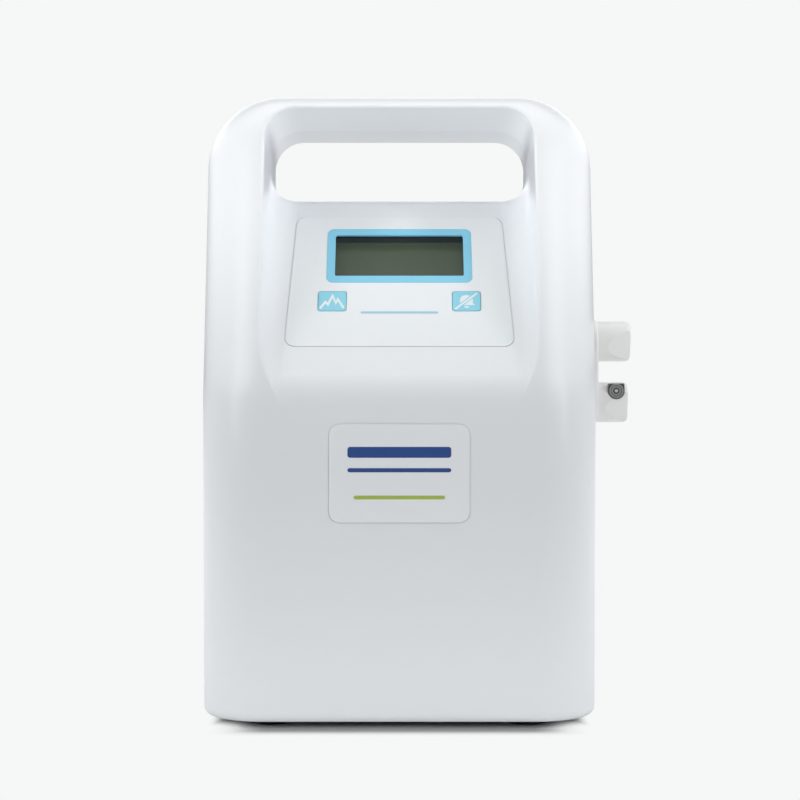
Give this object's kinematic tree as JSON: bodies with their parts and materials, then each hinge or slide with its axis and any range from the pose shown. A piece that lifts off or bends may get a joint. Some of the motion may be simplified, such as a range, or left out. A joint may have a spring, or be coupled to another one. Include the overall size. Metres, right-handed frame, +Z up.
{
  "type": "compression therapy pump",
  "caption": "Portable air pump for compression sleeves: upright white casing with a carrying arch, a sloping console with display and keys, and hose sockets on one side.",
  "frame": {"origin": "on the plane the feet stand on, under the middle of the casing's width and depth", "axes": "+Z up, -Y towards the user (the side with the console), +X to the user's right (the side with the hose sockets)"},
  "size_m": [0.2042, 0.123, 0.2989],
  "materials": {
    "shell_front": "moulded ABS, fine satin",
    "shell_rear": "moulded ABS, fine satin",
    "console_film": "printed polyester film, velvet",
    "frame_blue": "printed light blue, semi gloss",
    "window_clear": "clear acrylic, polished",
    "shroud_black": "matt black",
    "display_glass": "dark green character display glass",
    "board_green": "solder resist, semi gloss",
    "switch_parts": "black plastic",
    "key_blue": "printed light blue, semi gloss",
    "plate_white": "printed polycarbonate label plate, satin",
    "foot_rubber": "matt black rubber",
    "port_white": "moulded acetal, satin",
    "latch_metal": "turned, nickel plated",
    "nut_brass": "machined",
    "seal_black": "smooth rubber",
    "inlet_black": "matt black",
    "pin_metal": "nickel plated",
    "fuse_glass": "glass with metal caps",
    "rocker_black": "semi gloss black",
    "rating_silver": "printed silver label",
    "mount_rubber": "soft rubber",
    "chassis_metal": "zinc plated sheet",
    "motor_metal": "drawn steel",
    "motor_plastic": "black moulding",
    "bearing_steel": "ground",
    "rotor_steel": "laminations and varnished windings",
    "rod_metal": "die cast",
    "diaphragm_rubber": "moulded rubber",
    "pump_metal": "die cast",
    "filter_felt": "felt",
    "manifold_black": "black moulding",
    "core_steel": "turned",
    "spring_steel": "spring wire",
    "coil_wrap": "taped winding",
    "tube_clear": "soft translucent tube",
    "chip_black": "moulded parts",
    "transformer_mix": "varnished laminations and windings",
    "screw_zinc": "zinc plated",
    "wire_mix": "insulated wire"
  },
  "bodies": {
    "casing": {"front_casing": "shell_front", "rear_casing": "shell_rear", "membrane_overlay": "console_film", "display_frame": "frame_blue", "display_window": "window_clear", "lcd_shroud": "shroud_black", "lcd_glass": "display_glass", "console_boards": "board_green", "main_board": "board_green", "supply_board": "board_green", "tactile_switches": "switch_parts", "name_plate": "plate_white", "base_feet": "foot_rubber", "port_plate": "port_white", "upper_hose_socket": "port_white", "lower_hose_socket": "port_white", "socket_nuts": "nut_brass", "socket_seals": "seal_black", "mains_inlet": "inlet_black", "switch_housing": "inlet_black", "inlet_pins": "pin_metal", "rating_plate": "rating_silver", "pump_mounts": "mount_rubber", "pump_chassis": "chassis_metal", "motor_can": "motor_metal", "motor_end_bell": "motor_plastic", "motor_bearings": "bearing_steel", "diaphragm": "diaphragm_rubber", "pump_housing": "pump_metal", "valve_plate": "pump_metal", "pump_head": "pump_metal", "intake_filter": "filter_felt", "valve_manifold": "manifold_black", "upper_valve_spring": "spring_steel", "lower_valve_spring": "spring_steel", "valve_coils": "coil_wrap", "socket_tubes": "tube_clear", "pump_air_tube": "tube_clear", "sensor_tube": "tube_clear", "board_parts": "chip_black", "supply_parts": "transformer_mix", "inner_screws": "screw_zinc", "casing_screws": "screw_zinc", "wiring": "wire_mix"},
    "mode_key_body": {"mode_key": "key_blue"},
    "alarm_key_body": {"alarm_key": "key_blue"},
    "upper_latch_body": {"upper_latch": "latch_metal"},
    "lower_latch_body": {"lower_latch": "latch_metal"},
    "fuse_tray": {"fuse_drawer": "inlet_black", "mains_fuse": "fuse_glass"},
    "rocker": {"power_rocker": "rocker_black"},
    "rotor": {"motor_shaft": "bearing_steel", "motor_rotor": "rotor_steel", "eccentric_hub": "rod_metal"},
    "rod": {"connecting_rod": "rod_metal", "rod_bearing": "bearing_steel", "diaphragm_clamp": "rod_metal"},
    "upper_valve": {"upper_valve_core": "core_steel"},
    "lower_valve": {"lower_valve_core": "core_steel"}
  },
  "joints": [
    {"name": "mode_key_press", "type": "slide", "parent": "casing", "child": "mode_key_body", "axis": [0, 0.7986, -0.6018], "range_m": [0, 0.0006], "stiffness_N_per_m": 500},
    {"name": "alarm_key_press", "type": "slide", "parent": "casing", "child": "alarm_key_body", "axis": [0, 0.7986, -0.6018], "range_m": [0, 0.0006], "stiffness_N_per_m": 500},
    {"name": "upper_latch_press", "type": "slide", "parent": "casing", "child": "upper_latch_body", "axis": [0, -1, 0], "range_m": [0, 0.001], "stiffness_N_per_m": 800},
    {"name": "lower_latch_press", "type": "slide", "parent": "casing", "child": "lower_latch_body", "axis": [0, 1, 0], "range_m": [0, 0.001], "stiffness_N_per_m": 800},
    {"name": "fuse_drawer_pull", "type": "slide", "parent": "casing", "child": "fuse_tray", "axis": [0, 1, 0], "range_m": [0, 0.018]},
    {"name": "rocker_tilt", "type": "hinge", "parent": "casing", "child": "rocker", "pos_m": [-0.008, 0.056, 0.04], "axis": [1, 0, 0], "range_deg": [-18, 0]},
    {"name": "rotor_spin", "type": "hinge", "parent": "casing", "child": "rotor", "pos_m": [0.004, 0.008, 0.046], "axis": [1, 0, 0], "continuous": true},
    {"name": "rod_pivot", "type": "hinge", "parent": "rotor", "child": "rod", "pos_m": [0.004, 0.008, 0.0472], "axis": [1, 0, 0], "continuous": true, "deforming": ["diaphragm"]},
    {"name": "upper_valve_lift", "type": "slide", "parent": "casing", "child": "upper_valve", "axis": [0, 0, 1], "range_m": [0, 0.0015], "stiffness_N_per_m": 150, "springref_m": -0.0012, "deforming": ["upper_valve_spring"]},
    {"name": "lower_valve_lift", "type": "slide", "parent": "casing", "child": "lower_valve", "axis": [0, 0, 1], "range_m": [0, 0.0015], "stiffness_N_per_m": 150, "springref_m": -0.0012, "deforming": ["lower_valve_spring"]}
  ],
  "couplings": [
    {"joint": "rod_pivot", "follows": "rotor_spin", "ratio": -1}
  ]
}
